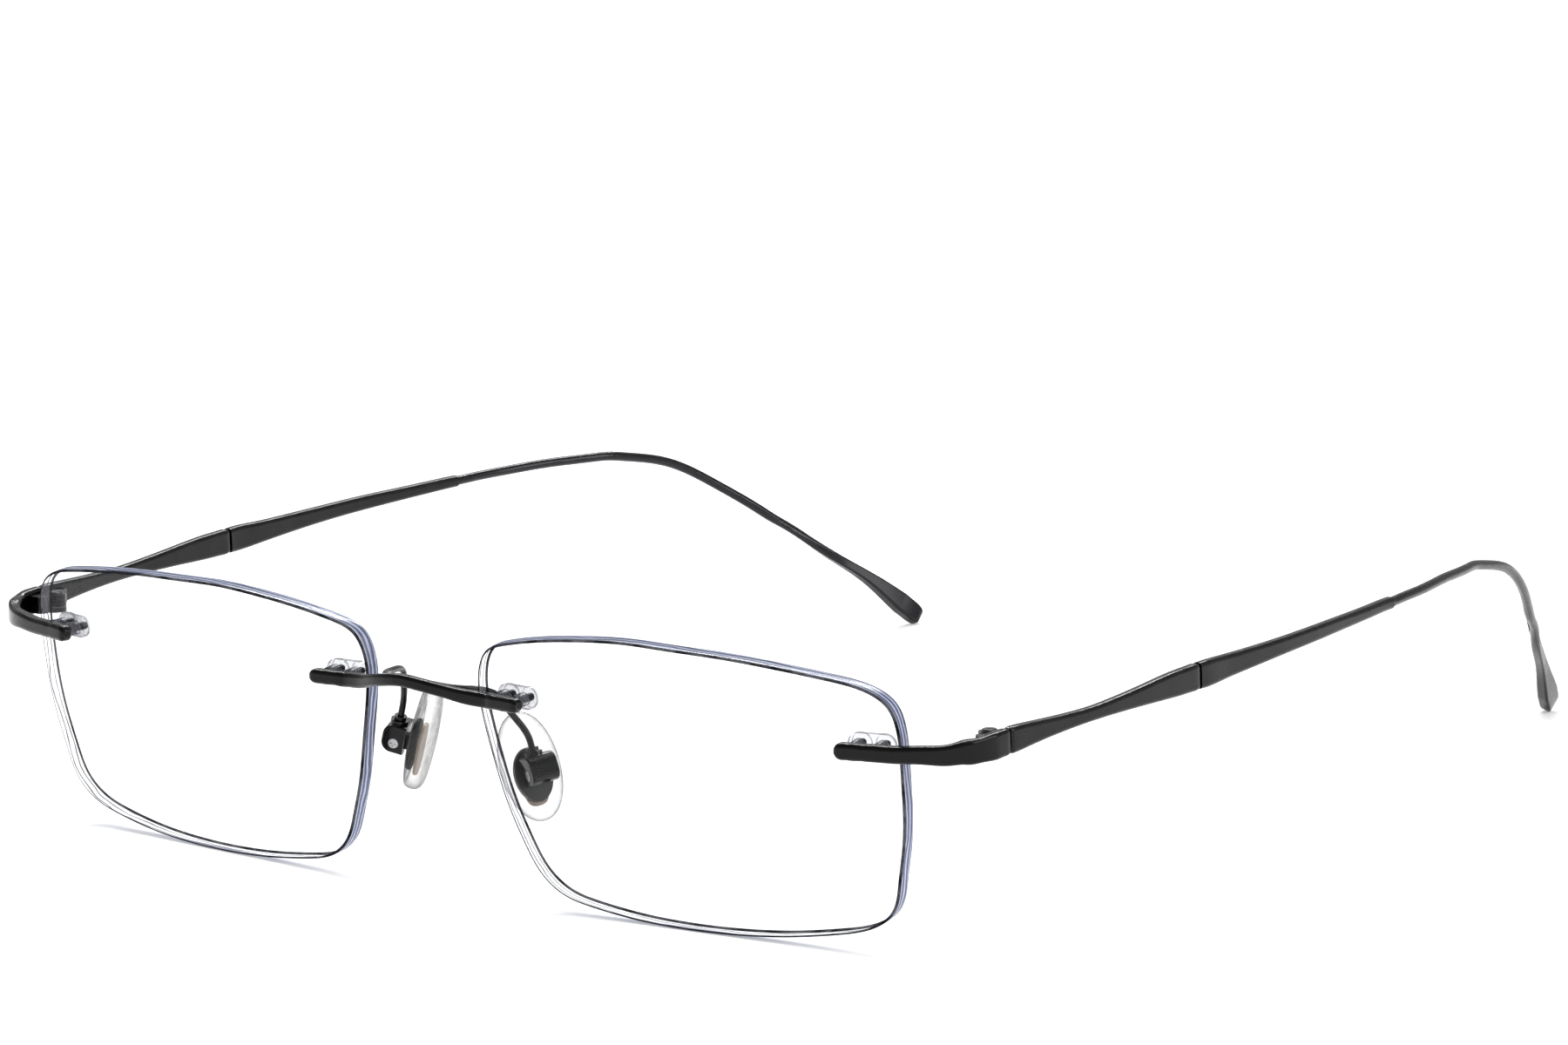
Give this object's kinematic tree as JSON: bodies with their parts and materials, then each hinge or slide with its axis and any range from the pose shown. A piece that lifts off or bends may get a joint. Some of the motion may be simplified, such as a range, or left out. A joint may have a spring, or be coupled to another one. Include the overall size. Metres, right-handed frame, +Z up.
{
  "type": "rimless eyeglasses",
  "caption": "Rimless spectacles with clear lenses, a thin dark metal bridge, screwed nose pads and slim folding temples that end in flattened wire tips.",
  "frame": {"origin": "on the table plane, midway between the two sides and half way from the front of the bridge to the temple tips, the bottom centre of the bounding box, with the spectacles standing open on their lens edges and temple tips", "axes": "+X to the wearer's left, +Y from the lenses back along the temples, +Z up"},
  "size_m": [0.1418, 0.1526, 0.0318],
  "materials": {
    "lens_clear": "polished",
    "bushing_clear": "clear polished",
    "frame_satin_black": "satin",
    "temple_satin_grey": "satin",
    "hinge_satin_black": "satin",
    "screw_dark": "turned",
    "screw_silver": "turned",
    "arm_black": "satin",
    "box_black": "satin",
    "pad_plate_black": "matte",
    "pad_silicone": "clear soft silicone"
  },
  "bodies": {
    "front": {"bridge": "frame_satin_black", "left_lens": "lens_clear", "left_inner_bushing": "bushing_clear", "left_outer_bushing": "bushing_clear", "left_endpiece": "frame_satin_black", "left_front_hinge": "hinge_satin_black", "left_hinge_screw": "screw_dark", "left_guard_arm": "arm_black", "left_pad_box": "box_black", "left_pad_screw": "screw_silver", "right_lens": "lens_clear", "right_inner_bushing": "bushing_clear", "right_outer_bushing": "bushing_clear", "right_endpiece": "frame_satin_black", "right_front_hinge": "hinge_satin_black", "right_hinge_screw": "screw_dark", "right_guard_arm": "arm_black", "right_pad_box": "box_black", "right_pad_screw": "screw_silver"},
    "left_temple": {"left_temple_front": "temple_satin_grey", "left_temple_rear": "temple_satin_grey", "left_temple_wire": "temple_satin_grey", "left_temple_hinge": "hinge_satin_black"},
    "right_temple": {"right_temple_front": "temple_satin_grey", "right_temple_rear": "temple_satin_grey", "right_temple_wire": "temple_satin_grey", "right_temple_hinge": "hinge_satin_black"},
    "left_pad": {"left_nose_pad": "pad_silicone", "left_pad_insert": "pad_plate_black"},
    "right_pad": {"right_nose_pad": "pad_silicone", "right_pad_insert": "pad_plate_black"}
  },
  "joints": [
    {"name": "left_temple_fold", "type": "hinge", "parent": "front", "child": "left_temple", "pos_m": [0.067, -0.05928, 0.02303], "axis": [0, 0, 1], "range_deg": [0, 84]},
    {"name": "right_temple_fold", "type": "hinge", "parent": "front", "child": "right_temple", "pos_m": [-0.067, -0.05928, 0.02303], "axis": [0, 0, -1], "range_deg": [0, 80]},
    {"name": "left_pad_rock", "type": "hinge", "parent": "front", "child": "left_pad", "pos_m": [0.01035, -0.06504, 0.0137], "axis": [0.4101, 0.8975, 0.1622], "range_deg": [-8, 8]},
    {"name": "right_pad_rock", "type": "hinge", "parent": "front", "child": "right_pad", "pos_m": [-0.01035, -0.06504, 0.01502], "axis": [-0.4101, 0.8975, 0.1622], "range_deg": [-8, 8]}
  ]
}
